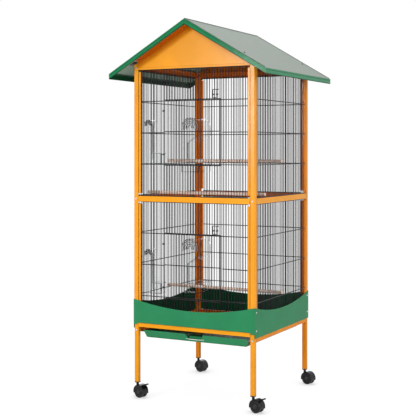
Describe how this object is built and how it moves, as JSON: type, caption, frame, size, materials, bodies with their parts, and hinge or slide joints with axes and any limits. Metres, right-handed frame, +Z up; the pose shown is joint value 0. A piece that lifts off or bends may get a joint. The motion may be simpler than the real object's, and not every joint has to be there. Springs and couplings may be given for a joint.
{
  "type": "flight bird cage",
  "caption": "Tall wire flight cage for small birds with a gabled roof, front doors, perches, feeders and a pull-out tray, on braked swivel casters.",
  "frame": {"origin": "on the floor under the middle of the frame", "axes": "+X to the right seen from the front, +Y to the rear, +Z up"},
  "size_m": [0.751, 0.747, 1.6441],
  "materials": {
    "orange_paint": "satin powder coat",
    "green_paint": "satin powder coat",
    "roof_board": "smooth matt board",
    "black_wire": "gloss coated wire",
    "perch_wood": "plain turned dowel",
    "clear_plastic": "clear moulded",
    "caster_plastic": "moulded nylon",
    "wheel_plastic": "moulded nylon",
    "screw_steel": "zinc plated"
  },
  "bodies": {
    "cage": {"post_front_left": "orange_paint", "post_front_right": "orange_paint", "post_rear_left": "orange_paint", "post_rear_right": "orange_paint", "leg_front_left": "orange_paint", "leg_front_right": "orange_paint", "leg_rear_left": "orange_paint", "leg_rear_right": "orange_paint", "bottom_rail_front": "orange_paint", "bottom_rail_rear": "orange_paint", "bottom_rail_left": "orange_paint", "bottom_rail_right": "orange_paint", "mid_rail_front": "orange_paint", "mid_rail_rear": "orange_paint", "mid_rail_left": "orange_paint", "mid_rail_right": "orange_paint", "top_rail_front": "orange_paint", "top_rail_rear": "orange_paint", "top_rail_left": "orange_paint", "top_rail_right": "orange_paint", "gable_front": "orange_paint", "gable_rear": "orange_paint", "roof_sheet_left": "roof_board", "roof_sheet_right": "roof_board", "roof_frame_left": "green_paint", "roof_frame_right": "green_paint", "apron_front": "green_paint", "apron_rear": "green_paint", "apron_left": "green_paint", "apron_right": "green_paint", "upper_panel_front": "black_wire", "upper_panel_rear": "black_wire", "upper_panel_left": "black_wire", "upper_panel_right": "black_wire", "lower_panel_front": "black_wire", "lower_panel_rear": "black_wire", "lower_panel_left": "black_wire", "lower_panel_right": "black_wire", "perch_upper": "perch_wood", "perch_middle": "perch_wood", "perch_lower": "perch_wood", "seed_feeders": "clear_plastic", "drinkers": "clear_plastic", "leg_plugs": "caster_plastic", "screws": "screw_steel"},
    "door_upper": {"door_upper": "black_wire"},
    "door_lower": {"door_lower": "black_wire"},
    "latch_upper": {"latch_upper": "black_wire"},
    "latch_lower": {"latch_lower": "black_wire"},
    "tray": {"tray": "green_paint"},
    "caster_front_left": {"caster_fork_front_left": "caster_plastic"},
    "wheels_front_left": {"caster_wheels_front_left": "wheel_plastic"},
    "caster_front_right": {"caster_fork_front_right": "caster_plastic"},
    "wheels_front_right": {"caster_wheels_front_right": "wheel_plastic"},
    "caster_rear_left": {"caster_fork_rear_left": "caster_plastic"},
    "wheels_rear_left": {"caster_wheels_rear_left": "wheel_plastic"},
    "caster_rear_right": {"caster_fork_rear_right": "caster_plastic"},
    "wheels_rear_right": {"caster_wheels_rear_right": "wheel_plastic"},
    "brake_left": {"brake_lever_left": "caster_plastic"},
    "brake_right": {"brake_lever_right": "caster_plastic"}
  },
  "joints": [
    {"name": "door_upper_hinge", "type": "hinge", "parent": "cage", "child": "door_upper", "pos_m": [-0.1365, -0.3018, 1.164], "axis": [0, 0, -1], "range_deg": [0, 110]},
    {"name": "latch_upper_slide", "type": "slide", "parent": "cage", "child": "latch_upper", "axis": [0, 0, 1], "range_m": [-0.01, 0]},
    {"name": "door_lower_hinge", "type": "hinge", "parent": "cage", "child": "door_lower", "pos_m": [-0.1365, -0.3018, 0.587], "axis": [0, 0, -1], "range_deg": [0, 110]},
    {"name": "latch_lower_slide", "type": "slide", "parent": "cage", "child": "latch_lower", "axis": [0, 0, 1], "range_m": [-0.01, 0]},
    {"name": "tray_slide", "type": "slide", "parent": "cage", "child": "tray", "axis": [0, -1, 0], "range_m": [0, 0.5]},
    {"name": "caster_front_left_swivel", "type": "hinge", "parent": "cage", "child": "caster_front_left", "pos_m": [-0.2809, -0.2869, 0.075], "axis": [0, 0, 1], "continuous": true},
    {"name": "wheels_front_left_spin", "type": "hinge", "parent": "caster_front_left", "child": "wheels_front_left", "pos_m": [-0.26149, -0.29174, 0.0275], "axis": [-0.2419, -0.9703, 0], "continuous": true},
    {"name": "caster_front_right_swivel", "type": "hinge", "parent": "cage", "child": "caster_front_right", "pos_m": [0.2809, -0.2869, 0.075], "axis": [0, 0, 1], "continuous": true},
    {"name": "wheels_front_right_spin", "type": "hinge", "parent": "caster_front_right", "child": "wheels_front_right", "pos_m": [0.30031, -0.29174, 0.0275], "axis": [-0.2419, -0.9703, 0], "continuous": true},
    {"name": "caster_rear_left_swivel", "type": "hinge", "parent": "cage", "child": "caster_rear_left", "pos_m": [-0.2809, 0.2869, 0.075], "axis": [0, 0, 1], "continuous": true},
    {"name": "wheels_rear_left_spin", "type": "hinge", "parent": "caster_rear_left", "child": "wheels_rear_left", "pos_m": [-0.26149, 0.28206, 0.0275], "axis": [-0.2419, -0.9703, 0], "continuous": true},
    {"name": "caster_rear_right_swivel", "type": "hinge", "parent": "cage", "child": "caster_rear_right", "pos_m": [0.2809, 0.2869, 0.075], "axis": [0, 0, 1], "continuous": true},
    {"name": "wheels_rear_right_spin", "type": "hinge", "parent": "caster_rear_right", "child": "wheels_rear_right", "pos_m": [0.30031, 0.28206, 0.0275], "axis": [-0.2419, -0.9703, 0], "continuous": true},
    {"name": "brake_left_press", "type": "hinge", "parent": "caster_front_left", "child": "brake_left", "pos_m": [-0.24202, -0.2966, 0.05617], "axis": [0.2419, 0.9703, 0], "range_deg": [0, 18]},
    {"name": "brake_right_press", "type": "hinge", "parent": "caster_front_right", "child": "brake_right", "pos_m": [0.31978, -0.2966, 0.05617], "axis": [0.2419, 0.9703, 0], "range_deg": [0, 18]}
  ]
}
